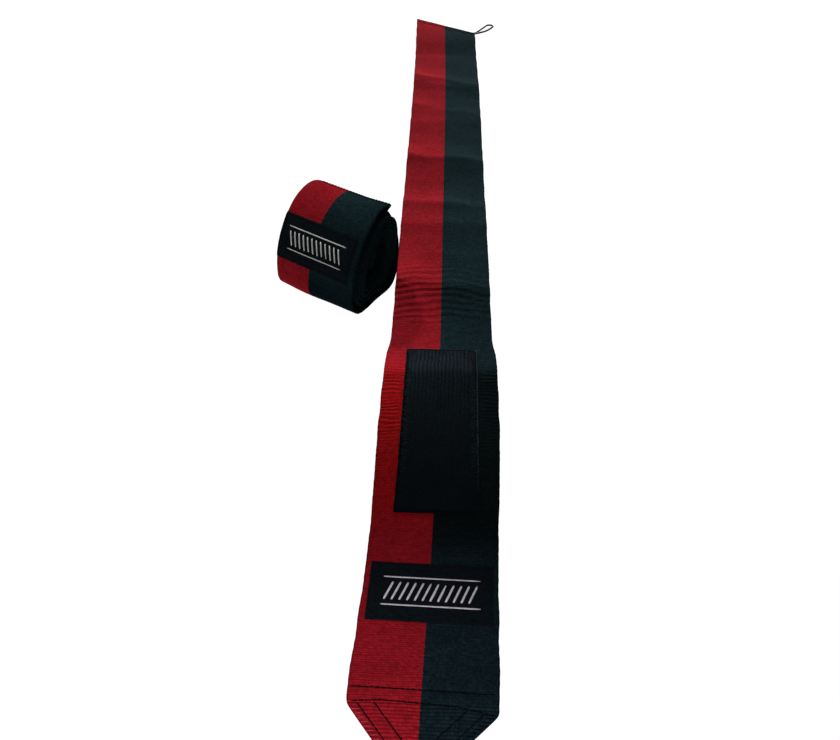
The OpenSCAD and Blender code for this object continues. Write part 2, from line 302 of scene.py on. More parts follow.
def tube_mesh(line, up, radius, sides=6):
    """Verts and faces of closed tubes along line[k, i], with up[k, i] across them."""
    line, up = np.asarray(line, float), np.asarray(up, float)
    n, m = line.shape[:2]
    t = np.gradient(line, axis=1)
    t /= np.linalg.norm(t, axis=-1, keepdims=True) + 1e-12
    b = np.cross(t, up)
    b /= np.linalg.norm(b, axis=-1, keepdims=True) + 1e-12
    w = np.cross(b, t)
    a = 2 * np.pi * np.arange(sides) / sides
    radius = np.broadcast_to(np.asarray(radius, float), (n, m, sides) if np.ndim(radius) == 3 else (n, m))
    if radius.ndim == 2:
        radius = np.repeat(radius[:, :, None], sides, 2)
    v = line[:, :, None] + radius[..., None] * (
        np.cos(a)[:, None] * w[:, :, None] + np.sin(a)[:, None] * b[:, :, None]
    )
    k = np.arange(n * m * sides).reshape(n, m, sides)
    j = np.roll(k, -1, axis=2)
    quads = np.stack([k[:, :-1], j[:, :-1], j[:, 1:], k[:, 1:]], -1).reshape(-1, 4).tolist()
    quads += k[:, 0, ::-1].tolist() + k[:, -1].tolist()
    return v.reshape(-1, 3), quads


def tubes(name, line, up, radius, mat, sides=6):
    v, f = tube_mesh(line, up, radius, sides)
    return new_object(name, v, f, mat)


# ------------------------------------------------------------------ materials
class Mat:
    def __init__(self, name):
        self.m = bpy.data.materials.new(name)
        self.m.use_nodes = True
        self.t = self.m.node_tree
        self.t.nodes.clear()
        self.out = self.t.nodes.new("ShaderNodeOutputMaterial")
        self.b = self.t.nodes.new("ShaderNodeBsdfPrincipled")
        self.t.links.new(self.b.outputs[0], self.out.inputs[0])

    def put(self, socket, v):
        if isinstance(v, bpy.types.NodeSocket):
            self.t.links.new(v, socket)
        else:
            socket.default_value = v

    def f(self, op, a, b=None, c=None, clamp=False):
        n = self.t.nodes.new("ShaderNodeMath")
        n.operation, n.use_clamp = op, clamp
        for s, v in zip(n.inputs, (a, b, c)):
            if v is not None:
                self.put(s, v)
        return n.outputs[0]

    def scale(self, v, low, high):
        """v from 0..1 to low..high"""
        return self.f("MULTIPLY_ADD", v, high - low, low)

    def uv(self, layer="wrap"):
        n = self.t.nodes.new("ShaderNodeUVMap")
        n.uv_map = layer
        s = self.t.nodes.new("ShaderNodeSeparateXYZ")
        self.put(s.inputs[0], n.outputs[0])
        return n.outputs[0], s.outputs[0], s.outputs[1]

    def place(self):
        n = self.t.nodes.new("ShaderNodeTexCoord")
        return n.outputs["Object"]

    def xyz(self, x, y, z=0.0):
        n = self.t.nodes.new("ShaderNodeCombineXYZ")
        for s, v in zip(n.inputs, (x, y, z)):
            self.put(s, v)
        return n.outputs[0]

    def white(self, x, y):
        n = self.t.nodes.new("ShaderNodeTexWhiteNoise")
        n.noise_dimensions = "2D"
        self.put(n.inputs["Vector"], self.xyz(x, y))
        return n.outputs["Value"]

    def noise(self, vec, scale, detail=2.0, rough=0.5):
        n = self.t.nodes.new("ShaderNodeTexNoise")
        self.put(n.inputs["Vector"], vec)
        n.inputs["Scale"].default_value = scale
        n.inputs["Detail"].default_value = detail
        n.inputs["Roughness"].default_value = rough
        return n.outputs[0]

    def mix(self, fac, a, b, kind="MIX"):
        n = self.t.nodes.new("ShaderNodeMix")
        n.data_type, n.blend_type = "RGBA", kind
        for s, v in ((n.inputs[0], fac), (n.inputs[6], a), (n.inputs[7], b)):
            if isinstance(v, (tuple, list)) and len(v) == 3:
                v = (*v, 1.0)
            self.put(s, v)
        return n.outputs[2]

    def times(self, colour, v):
        return self.mix(1.0, colour, self.grey(v), "MULTIPLY")

    def grey(self, v):
        n = self.t.nodes.new("ShaderNodeCombineColor")
        for s in n.inputs:
            self.put(s, v)
        return n.outputs[0]

    def finish(self, colour, rough, height=None, strength=0.5, distance=0.0004, **plain):
        self.put(self.b.inputs["Base Color"], (*colour, 1.0) if isinstance(colour, tuple) else colour)
        self.put(self.b.inputs["Roughness"], rough)
        for name, v in plain.items():
            self.b.inputs[name.replace("_", " ")].default_value = v
        if height is not None:
            n = self.t.nodes.new("ShaderNodeBump")
            n.inputs["Strength"].default_value = strength
            n.inputs["Distance"].default_value = distance
            self.put(n.inputs["Height"], height)
            self.put(self.b.inputs["Normal"], n.outputs[0])
        return self.m


def half_sine(m, x):
    """0 at whole numbers, 1 halfway between them"""
    return m.f("ABSOLUTE", m.f("SINE", m.f("MULTIPLY", x, math.pi)))


def webbing(name, patch_red, tip_black_painted_light, patch_black, far_black_painted_sheen):
    """Two-tone elastic webbing: ribs across it, each a row of staggered yarns, coarser over the tip."""
    m = Mat(name)
    vec, u, s = m.uv()
    rim = m.uv("rim")[1]
    slow = m.noise(vec, 0.035, 2)
    bent = m.f("ADD", s, m.f("MULTIPLY", m.noise(vec, 0.06, 1), 1.6))
    rib = m.f("ADD", m.f("DIVIDE", m.f("MAXIMUM", bent, 32.0), 1.22),
              m.f("DIVIDE", m.f("MINIMUM", m.f("SUBTRACT", bent, 32.0), 0.0), 1.75))
    row = m.f("FLOOR", rib)
    yarn = m.f("ADD", m.f("DIVIDE", u, 0.95), m.f("MULTIPLY", m.f("PINGPONG", row, 1.0), 0.5))
    cell = m.white(m.f("FLOOR", yarn), row)
    h_rib, h_yarn = half_sine(m, rib), half_sine(m, yarn)
    height = m.f("MULTIPLY", m.f("POWER", h_rib, 0.7), m.scale(h_yarn, 0.55, 1.0))
    height = m.f("ADD", height, m.f("MULTIPLY", cell, 0.25))
    # a slower beat between the ribs and the elastic core
    beat = half_sine(m, m.f("ADD", m.f("DIVIDE", bent, 1.88), m.f("MULTIPLY", m.noise(vec, 0.25, 1), 0.5)))
    twill = half_sine(m, m.f("DIVIDE", m.f("ADD", bent, m.f("MULTIPLY", u, 0.62)), 2.7))
    # the two halves meet along a fine saw-toothed line
    tooth = m.f("MULTIPLY_ADD", m.f("PINGPONG", row, 1.0), 0.2, m.f("MULTIPLY", m.white(row, 7.0), 0.12))
    black_side = m.f("GREATER_THAN", m.f("ADD", u, tooth), -0.745)
    dash = m.white(m.f("FLOOR", m.f("ADD", m.f("DIVIDE", u, 2.6), m.f("MULTIPLY", m.white(row, 3.0), 9.0))), row)
    # painted shade: the colour is darker in the valleys between the ribs and yarns
    shade = m.f("MULTIPLY", m.scale(height, 0.68, 1.12), m.scale(cell, 0.86, 1.16))
    shade = m.f("MULTIPLY", shade, m.scale(dash, 0.85, 1.15))
    # painted shade and highlight: over the tip the rib valleys are painted darker still and the rib crests lighter
    tip = m.f("LESS_THAN", s, 32.0)
    shade = m.f("MULTIPLY", shade, m.f("ADD", 1.0, m.f("MULTIPLY", tip, m.scale(h_rib, -0.32, 0.16))))
    shade = m.f("MULTIPLY", shade, m.scale(slow, 0.84, 1.16))
    shade = m.f("MULTIPLY", shade, m.f("MULTIPLY", m.scale(beat, 0.90, 1.06), m.scale(twill, 0.93, 1.05)))
    # painted shade: the webbing is darkened within about a millimetre of its edges and of its rounded tip end, where
    # the edges curve down into shade
    edge = m.f("MULTIPLY", rim, 0.8, clamp=True)
    shade = m.f("MULTIPLY", shade, m.scale(edge, 0.55, 1.0))
    red = m.mix(cell, (0.242, 0.0086, 0.0142), (0.214, 0.0072, 0.0118))
    black = m.mix(cell, (0.0055, 0.0132, 0.0152), (0.0065, 0.0152, 0.0176))
    # painted shade and painted light: round the sewn patch both colours are mixed towards painted ones (the black
    # darker, the red brighter on the flat wrap and darker on the rolled one); near the tip the black is painted darker
    # on the flat wrap and lighter on the rolled one; beyond the patch the flat wrap's black is painted lighter, as
    # sheen
    deep = m.f("MULTIPLY", m.f("DIVIDE", m.f("SUBTRACT", s, 112.0), 16.0, clamp=True), m.f("DIVIDE", m.f("SUBTRACT", 280.0, s), 30.0, clamp=True))
    black = m.mix(deep, black, patch_black)
    black = m.times(black, m.scale(m.f("DIVIDE", m.f("SUBTRACT", s, 252.0), 28.0, clamp=True), 1.0, far_black_painted_sheen))
    black = m.times(black, m.scale(m.f("DIVIDE", m.f("SUBTRACT", 74.0, s), 34.0, clamp=True), 1.0, tip_black_painted_light))
    red = m.mix(m.f("MULTIPLY", deep, m.f("DIVIDE", m.f("SUBTRACT", s, 126.0), 24.0, clamp=True)), red, patch_red)
    colour = m.times(m.mix(black_side, red, black), shade)
    rough = m.f("SUBTRACT", m.scale(m.noise(vec, 0.3, 2), 0.58, 0.76), m.f("MULTIPLY", black_side, 0.06))
    height = m.f("ADD", height, m.f("MULTIPLY", beat, 0.35))
    return m.finish(
        colour, rough, height, 0.45, 0.00035, Specular_IOR_Level=0.0001,
        Sheen_Weight=0.009, Sheen_Roughness=0.5, Sheen_Tint=(0.65, 1.0, 1.1, 1.0),
    )


def loop_tape(name, pile, selvedge=False):
    """Black loop tape: woven base, or the napped pile with its lengthwise rows. One selvedge of the base is paler along
    a narrow line from s 158 on.
    """
    m = Mat(name)
    vec, u, s = m.uv()
    row = m.f("DIVIDE", m.f("ADD", u, m.f("MULTIPLY", m.noise(vec, 0.12, 2), 1.4)), 1.3 if pile else 0.7)
    fuzz = m.noise(vec, 2.2 if pile else 1.5, 4, 0.7)
    height = m.f("ADD", m.f("MULTIPLY", half_sine(m, row), 0.45), fuzz)
    shade = m.f("MULTIPLY", m.scale(fuzz, 0.35, 1.6), m.scale(m.noise(vec, 0.05, 2), 0.8, 1.2))
    if pile:
        # lighter lengthwise rows of loops, with a painted highlight on them that grows towards the far end, where they
        # catch the light
        line = half_sine(m, m.f("DIVIDE", m.f("ADD", u, m.f("MULTIPLY", m.noise(vec, 0.07, 2), 3.4)), 2.7))
        line = m.f("MULTIPLY", m.f("POWER", line, 3.0), m.noise(vec, 0.9, 2))
        far = m.f("POWER", m.f("DIVIDE", m.f("SUBTRACT", s, 205.0), 70.0, clamp=True), 1.6)
        shade = m.f("MULTIPLY", shade, m.f("ADD", 0.85, m.f("MULTIPLY", line, m.scale(far, 0.12, 3.0))))
    if selvedge:
        away = m.f("DIVIDE", m.f("ABSOLUTE", m.f("SUBTRACT", u, 25.9)), 0.75)
        pale = m.f("MULTIPLY", m.f("SUBTRACT", 1.0, away, clamp=True), m.f("DIVIDE", m.f("SUBTRACT", s, 158.0), 40.0, clamp=True))
        shade = m.f("MULTIPLY", shade, m.scale(pale, 1.0, 6.5))
    colour = m.times(m.grey(1.0), shade)
    base = (0.0060, 0.0098, 0.0126) if pile else (0.0056, 0.0098, 0.0114)
    colour = m.mix(1.0, colour, base, "MULTIPLY")
    return m.finish(
        colour, m.scale(fuzz, 0.7, 0.95), height, 0.7, 0.0005 if pile else 0.0003,
        Specular_IOR_Level=0.002, Sheen_Weight=0.006 if pile else 0.003, Sheen_Roughness=0.5,
    )


def satin(name):
    """Dark woven label: fine float yarns across it and a soft shine."""
    m = Mat(name)
    vec, u, s = m.uv()
    row = m.f("DIVIDE", s, 0.42)
    yarn = m.f("DIVIDE", m.f("ADD", u, m.f("MULTIPLY", m.white(m.f("FLOOR", row), 3.0), 3.0)), 2.1)
    height = m.f("MULTIPLY", half_sine(m, row), m.scale(half_sine(m, yarn), 0.6, 1.0))
    tone = m.white(m.f("FLOOR", yarn), m.f("FLOOR", row))
    # painted shade: the colour is darker between the rows and yarns of the floats
    shade = m.f("MULTIPLY", m.scale(height, 0.7, 1.1), m.scale(tone, 0.8, 1.2))
    shade = m.f("MULTIPLY", shade, m.scale(m.noise(vec, 0.08, 2), 0.8, 1.2))
    colour = m.times(m.mix(tone, (0.0052, 0.0078, 0.0094), (0.0068, 0.0098, 0.0116)), shade)
    return m.finish(
        colour, m.scale(m.noise(vec, 0.5, 2), 0.36, 0.52), height, 0.4, 0.0002,
        Specular_IOR_Level=0.004, Anisotropic=0.4,
    )


def thread(name, colour, low=0.5, high=1.4, shine=0.2):
    """Twisted sewing thread."""
    m = Mat(name)
    p = m.place()
    twist = m.noise(p, 2600, 2, 0.6)
    tone = m.noise(p, 350, 2, 0.6)
    c = m.mix(1.0, m.grey(m.scale(m.f("MULTIPLY", twist, m.scale(tone, 0.6, 1.4)), low, high)), colour, "MULTIPLY")
    return m.finish(
        c, m.scale(twist, 0.5, 0.8), twist, 0.6, 0.00015, Specular_IOR_Level=shine,
    )


def braid(name):
    """Elastic cord: a braided cover over a stretchy core."""
    m = Mat(name)
    vec, a, s = m.uv()  # a turns round the cord, s runs along it, in mm
    one = m.f("ADD", m.f("DIVIDE", s, 1.5), m.f("MULTIPLY", a, 1.0))
    two = m.f("SUBTRACT", m.f("DIVIDE", s, 1.5), m.f("MULTIPLY", a, 1.0))
    height = m.f("MAXIMUM", half_sine(m, one), half_sine(m, two))
    tone = m.white(m.f("FLOOR", one), m.f("FLOOR", two))
    # painted shade: the colour is darker in the grooves between the braid's strands
    shade = m.f("MULTIPLY", m.scale(height, 0.45, 1.2), m.scale(tone, 0.8, 1.3))
    colour = m.mix(1.0, m.grey(shade), (0.0046, 0.0056, 0.0062), "MULTIPLY")
    return m.finish(
        colour, m.scale(m.noise(vec, 1.2, 2), 0.45, 0.7), height, 0.6, 0.0003, Specular_IOR_Level=0.02,
    )


def hook_plastic(name):
    """Dull black nylon of the hook tape."""
    m = Mat(name)
    p = m.place()
    grain = m.noise(p, 900, 3, 0.6)
    colour = m.mix(1.0, m.grey(m.scale(grain, 0.5, 1.5)), (0.012, 0.013, 0.015), "MULTIPLY")
    return m.finish(
        colour, m.scale(grain, 0.35, 0.6), grain, 0.35, 0.0002, Specular_IOR_Level=0.4,
    )


# the flat and the rolled wrap take two copies of one webbing that differ only in their painted shade and painted light
WEB = webbing("webbing", (0.282, 0.0058, 0.0076), 0.92, (0.0040, 0.0070, 0.0078), 1.17)
ROLL_WEB = webbing("webbing_rolled", (0.192, 0.0070, 0.0112), 1.26, (0.0022, 0.0060, 0.0084), 1.0)
TAPE, PILE = loop_tape("loop_tape_base", False, True), loop_tape("loop_pile", True)
SATIN = satin("label_satin")
THREAD = thread("dark_thread", (0.0026, 0.0042, 0.0052), 0.5, 1.4, 0.004)
RED_THREAD = thread("red_thread", (0.36, 0.040, 0.058), 0.6, 1.4, 0.004)
LABEL_THREAD = thread("label_thread", (0.0056, 0.0080, 0.0098), 0.5, 1.4, 0.004)
PALE = thread("pale_thread", (0.78, 0.78, 0.75), 0.8, 1.25, 0.05)
FUZZ = thread("loop_fibre", (0.022, 0.033, 0.039), 0.3, 1.8, 0.01)
BRAID = braid("braided_cord")
HOOKS, HOOK_BASE = hook_plastic("hook_nylon"), loop_tape("hook_tape_base", False)

# ------------------------------------------------------------------ flat wrap
MID, BAND_T = 400.0, 2.0
bow = table([[-10, -3.4], [34, -2.2], [88, -0.2], [126, 1.0], [170, 1.9], [220, 2.3], [299, 2.6],
             [346, 2.4], [491, 1.8], [698, 0.8], [869, -2.1], [902, -3.0], [940, -3.8]])
spare = table([[-20, 0.8], [0, 0.8], [40, 0.7], [100, 0.2], [128, 0.3], [170, 1.8], [215, 2.9],
               [262, 2.9], [280, 2.2], [298, 0.1], [310, 0], [1000, 0]])
END_E, END_N = (0.8505, -0.526), (0.526, 0.8505)
# crest, height, length of the near slope, of the far slope, how far the right side is nearer
WAVES = [(260, 3.3, 40, 16, -2), (357, 5.3, 34, 60, 13), (396, 1.4, 41, 36, 7), (440, 3.4, 54, 29, 2),
         (474, 3.7, 37, 15, 9), (558, 5.1, 36, 22, 11), (634, 1.8, 30, 35, 1), (665, 2.5, 45, 15, 30),
         (726, 1.0, 15, 17, 18), (740, 3.7, 31, 14, 28)]


def end_s(u):
    return 902 - 23.5 * np.asarray(u, float) / 38


def half_width(s):
    s = np.asarray(s, float)
    return sum(sides(s)) / 2


def sides(s):
    """Half widths left and right of the middle; the tip is cut a little unevenly."""
    s = np.asarray(s, float)
    h = 38 + spare(s) + 0.16 * ripple(s, 0, 23, 3) + 0.07 * ripple(s, 5, 6.5, 4)
    return smin(11.2 + 0.886 * s, h, 1.3), smin(9.3 + 1.085 * s, h, 1.3)


def plain(s):
    """Half width of the rolled band, the corners of its tip worn round."""
    s = np.asarray(s, float)
    return smin(13 + 0.781 * s, 38 + 0.12 * ripple(s, 0, 23, 41), 5.0)


class Flat:
    """The wrap laid out: u across, s along from the tip, n up from the band's lower face."""

    k = 1.0
    mirrored = False
    label_u = 0.3
    tone = 0.0

    def lift(self, u, s):
        u, s = np.broadcast_arrays(np.asarray(u, float), np.asarray(s, float))
        z = 0.12 + 0.10 * ripple(u, s, 55, 11)
        for s0, a, near, far, skew in WAVES:
            x = s - s0 + skew * u / 76 + 1.5 * ripple(u, s0, 46, int(s0))
            fall = (np.sqrt(x * x + 12) - math.sqrt(12)) / np.where(x < 0, near, far)
            z = z + a * np.exp(-fall) * (1 + 0.18 * ripple(u, s0, 60, int(s0) + 1))
        # down on the floor between the waves
        z = 0.5 * (z - 1.0 + np.sqrt((z - 1.0) ** 2 + 0.4))
        z = z + 0.10 * ripple(u, s, 30, 12) * sstep(290, 400, s)
        fine = sstep(308, 324, s) * (1 - sstep(368, 390, s))
        x = s + 0.0035 * u * u + 1.2 * ripple(u, s, 30, 21)
        z = z + 0.30 * fine * (0.5 + 0.5 * np.sin(6.283 * x / 7.0)) * (0.8 - 0.3 * u / 38)
        # puckers along both sides of the sewn patch
        side = (sstep(-25.5, -28.5, u) + sstep(26.5, 29.5, u)) * sstep(186, 214, s) * (1 - sstep(262, 283, s))
        x = s + 0.10 * np.abs(u) + 1.0 * ripple(u, s, 26, 22)
        z = z + 0.145 * side * (0.8 + 0.3 * ripple(0, s, 31, 23)) * np.sin(6.283 * x / 3.2)
        ins = (end_s(u) - s) * END_E[0]
        # the tip rests on its hook tape and the far end on its hem, which curls up a little
        return z + 0.9 * (1 - sstep(42, 54, s)) + 3.9 * sstep(812, 864, s + 0.05 * u) + 0.4 * (1 - sstep(12.5, 46, ins))

    def pos(self, u, s, n):
        u, s, n = np.broadcast_arrays(*(np.asarray(x, float) for x in (u, s, n)))
        return np.stack([u + bow(s), s - MID, self.lift(u, s) + n], -1)

    def up(self, u, s, n):
        p = self.pos(u, s, n)
        a, b = self.pos(u + 0.3, s, n) - p, self.pos(u, s + 0.3, n) - p
        w = np.cross(a, b)
        return w / np.linalg.norm(w, axis=-1, keepdims=True)


class Sewn(Flat):
    """The wrap laid out, as what is sewn to it lies a little nearer the tip and askew."""

    def __init__(self, nearer, askew):
        self.nearer, self.askew = nearer, askew

    def pos(self, u, s, n):
        return super().pos(u, np.asarray(s, float) - self.nearer - self.askew * np.asarray(u, float), n)


class Roll:
    """The wrap rolled up from its far end, the tip outside on top: the same u, s and n. It is the other hand's wrap."""

    k = 74.0 / 76.0
    mirrored = True
    label_u = -2.6
    tone = 3.6  # its two colours meet that far off
    AX, PER = np.array([0.8599, -0.5105, 0]), np.array([0.5105, 0.8599, 0])
    skew = staticmethod(table([[0, -3], [45, -3], [62, -1.2], [100, 0], [130, 0.6], [150, 2.4], [165, 3], [181, 5],
                               [190, 4.4], [201, 2], [211, 0], [222, -3], [236, -7], [252, -8], [272, -6], [300, -3],
                               [340, 0], [1200, 0]]))
    C = np.array([-80.2, -34.2, 0])

    def __init__(self):
        self.t = np.arange(-56.0, 2300.0, 1.0)
        m = self.oval(self.t, -1.0)
        self.s = np.concatenate([[0], np.cumsum(np.linalg.norm(np.diff(m, axis=0), axis=1))])

    def inset(self, t):
        return np.where(t < 20, -4.5 * ((20 - np.minimum(t, 20)) / 76) ** 2,
                        np.where(t < 470, 4.7 * (t - 20) / 360, 5.875 + 3.0 * (t - 470) / 360))

    def oval(self, t, n):
        t = np.asarray(t, float)
        i = self.inset(t)
        k = i - n
        a, b = 44 - k, 30 - k
        c, d, lean = np.cos(np.radians(t)), np.sin(np.radians(t)), math.radians(54)
        p = a * c * math.cos(lean) - b * d * math.sin(lean) + 0.2 * np.maximum(0, i)
        z = a * c * math.sin(lean) + b * d * math.cos(lean) + 34.3
        f = 1.2 + k
        z = np.where(z > f + 4, z, np.where(z < f - 4, f, f + (z - f + 4) ** 2 / 16))
        return np.stack([p, z], -1)

    def pos(self, u, s, n):
        u, s, n = np.broadcast_arrays(*(np.asarray(x, float) for x in (u, s, n)))
        # turns that don't lie quite edge to edge, and a stiff corner that stands off
        du = 0.9 * ripple(s, 0, 150, 31) * sstep(280, 400, s) + self.skew(s) * sstep(-12, 38, u)
        beak = sstep(62, 30, s) * sstep(8, 38, u)
        n = n + 1.2 * beak + 0.15 * ripple(u, s, 40, 33) * sstep(30, 60, s)
        q = self.oval(np.interp(s, self.s, self.t), n - BAND_T)
        # the front sags square where it turns under
        q[..., 0] -= 4.0 * np.exp(-(((s - 133) / 13) ** 2)) * (0.55 + 0.45 * np.exp(-(((u + 10) / 22) ** 2)))
        return self.C + (u * self.k + du)[..., None] * self.AX + q[..., :1] * self.PER + q[..., 1:] * np.array([0, 0, 1.0])

    def up(self, u, s, n):
        w = self.pos(u, s, np.asarray(n, float) + 0.4) - self.pos(u, s, n)
        return w / np.linalg.norm(w, axis=-1, keepdims=True)


FLAT, ROLL = Flat(), Roll()

# stitch rows of the tip in u, s
TIP_K = (38.8 - 13) / 32
TIP_ROWS = [[(-35, 32), (35, 32)], [(-35, 38), (35, 38)]] + [
    [(m * u, 31.4), (m * (u - TIP_K * 29), 3)] for m in (-1, 1) for u in (33, 23.6)
]


FLAT_TIP_ROWS = [[(-37, 38.8), (36.4, 36.8)], [(-35, 31.6), (-20, 32.4)], [(-20, 32.4), (17, 30.3)], [(17, 30.3), (36.6, 26.7)],
                 [(-32.6, 30.6), (-8.4, 3.4)], [(-24.3, 31.2), (-2.2, 6.5)], [(30.8, 27.0), (6.6, 4.6)], [(22.5, 28.6), (0.4, 8.2)]]


def seam_dip(u, s, rows, deep=0.42, wide=0.95):
    """How far the cloth is pulled in along sewn rows."""
    z = 0.0
    for (u0, s0), (u1, s1) in rows:
        d = np.array([u1 - u0, s1 - s0])
        t = np.clip(((u - u0) * d[0] + (s - s0) * d[1]) / (d @ d), 0, 1)
        away = np.hypot(u - u0 - t * d[0], s - s0 - t * d[1])
        along = t * np.hypot(*d)
        z = np.maximum(z, deep * np.exp(-((away / wide) ** 2)) * (0.8 + 0.2 * np.cos(6.283 * along / 3.0)))
    return z


EDGE, EDGE_F = np.array([0, 0.12, 0.45, 1.0, 2.0]), np.array([0.45, 0.72, 0.93, 1.0, 1.0])


def columns(h, inner=32):
    """u of each column for each row's half width, and the thickness there."""
    h = np.atleast_1d(h)[:, None]
    mid = np.linspace(-1, 1, inner)[None] * (h - 3.5)
    u = np.concatenate([-h + EDGE[None], mid, h - EDGE[None, ::-1]], 1)
    return u, np.concatenate([EDGE_F, np.ones(inner), EDGE_F[::-1]])


def stations(s0, s1, step, extra=()):
    s = np.linspace(s0, s1, int(round((s1 - s0) / step)) + 1)
    s = s[[min([abs(x - e) for e in extra] + [9]) > 0.3 * step for x in s]]
    return np.unique(np.concatenate([s, [s0, s1], np.array(extra, float)]))


def joined(s, first=True, last=True):
    """A row close inside each end that meets the next length, which keeps the shading even there."""
    return np.unique(np.concatenate([s, [s[0] + 0.02] * first, [s[-1] - 0.02] * last]))


def band(name, surf, s, width, rounded=False, rows=(), inner=32):
    s = joined(s, not rounded)
    u, f = columns(width(s), inner)
    left = rite = width(s)[:, None]
    if width is half_width:
        left, rite = (x[:, None] for x in sides(s))
        u = u / width(s)[:, None] * np.where(u < 0, left, rite)
    f = np.repeat(f[None], len(s), 0)
    if rounded:
        f = f * np.interp(s - s[0], EDGE, EDGE_F)[:, None]
    ss = np.repeat(s[:, None], u.shape[1], 1)
    dip = seam_dip(u, ss, rows) if len(rows) else 0.0
    top, bot = surf.pos(u, ss, 1 + f - dip), surf.pos(u, ss, 1 - f)
    rim = np.minimum(u + left, rite - u)
    if rounded:
        rim = np.minimum(rim, ss)
    return slab(name, top, bot, np.stack([u + surf.tone, ss], -1), ROLL_WEB if surf.mirrored else WEB, surf.mirrored, rim)


def tape(name, surf, u0, u1, s0, s1, n0, n1, mat, step=1.7, bulge=None, ragged=0.0):
    """A flat strip sewn on the band, its edges rounded all round."""
    e, fe = np.array([0, 0.1, 0.35, 0.8]), np.array([0.5, 0.78, 0.95, 1.0])

    def line(a, b):
        mid = np.linspace(a + 0.8, b - 0.8, max(3, int((b - a - 1.6) / step) + 1))[1:-1]
        return np.concatenate([a + e, mid, b - e[::-1]]), np.concatenate([fe, np.ones(len(mid)), fe[::-1]])

    (ul, fu), (sl, fs) = line(u0, u1), line(s0, s1)
    u, s = np.meshgrid(ul, sl)
    f = fs[:, None] * fu[None]
    if ragged:
        edge_u = np.exp(-np.minimum(u - u0, u1 - u) / 0.7) * np.sign(u - (u0 + u1) / 2)
        edge_s = np.exp(-np.minimum(s - s0, s1 - s) / 0.7) * np.sign(s - (s0 + s1) / 2)
        u = u + ragged * edge_u * (ripple(s, u > 0, 2.6, 51) + 0.6 * ripple(s, u > 0, 9, 52))
        s = s + ragged * edge_s * (ripple(u, s > 200, 2.6, 53) + 0.6 * ripple(u, s > 200, 9, 54))
    mid, hh = (n0 + n1) / 2, (n1 - n0) / 2
    top = mid + hh * f + (bulge(u, s) * f if bulge else 0)
    return slab(name, surf.pos(u, s, top), surf.pos(u, s, mid - hh * f), np.stack([u, s], -1), mat, surf.mirrored)


def seam_lines(surf, rows, n0, pitch=3.0, length=3.35, rise=0.12, sink=0.06, seed=5):
    """Centre lines of single stitches along rows in u, s."""
    g = np.random.default_rng(seed)
    lines, ups = [], []
    w = np.linspace(0, 1, 7)
    bend = np.array([-sink, 0.0, rise * 0.8, rise, rise * 0.8, 0.0, -sink])
    for (u0, s0), (u1, s1) in rows:
        d = np.array([u1 - u0, s1 - s0])
        long = np.hypot(*d)
        count = max(1, int(long / pitch))
        across = np.array([-d[1], d[0]]) / long
        for i in range(count):
            a = (i + 0.5) * long / count - length / 2
            at = (a + w * length) / long
            j0, j1 = g.normal(0, 0.07, 2)
            j = j0 + (j1 - j0) * w
            u, s = u0 + d[0] * at + across[0] * j, s0 + d[1] * at + across[1] * j
            lines.append(surf.pos(u, s, n0 + bend))
            ups.append(surf.up(u, s, n0 + bend))
    return lines, ups


STITCH_R = np.array([0.2, 0.3, 0.35, 0.37, 0.35, 0.3, 0.2])


def box_rows(u0, u1, s0, s1):
    return [[(u0, s0), (u1, s0)], [(u1, s0), (u1, s1)], [(u1, s1), (u0, s1)], [(u0, s1), (u0, s0)]]


def stitches(name, surf, rows, n0, mat=THREAD, **how):
    lines, ups = seam_lines(surf, rows, n0, **how)
    return tubes(name, np.array(lines), np.array(ups), STITCH_R, mat)


def edge_stitches(name, surf, m):
    """Overcast stitches along one cut corner of the tip, m -1 left and 1 right."""
    lines, ups = [], []
    e, k = (13.0, 0.781) if surf.mirrored else ((11.2, 0.886) if m < 0 else (9.3, 1.085))
    d = np.array([k, 1.0]) / math.hypot(k, 1.0)
    for i in range(14):
        at = 2.0 + i * (25.0 if surf.mirrored or m > 0 else 27.5) / 14
        inset = np.array([3.4, 2.9, 2.3, 1.7, 1.1, 0.7, 0.5])
        n = np.array([1.75, 2.02, 2.12, 2.12, 2.04, 1.88, 1.45])
        u = e + k * at - inset / d[1]
        s = at + np.linspace(0.25, -0.25, 7)
        lines.append(surf.pos(m * u, s, n))
        ups.append(surf.up(m * u, s, n))
    return tubes(name, np.array(lines), np.array(ups), np.array([0.14, 0.24, 0.27, 0.27, 0.26, 0.24, 0.14]),
                 RED_THREAD if m < 0 else THREAD)


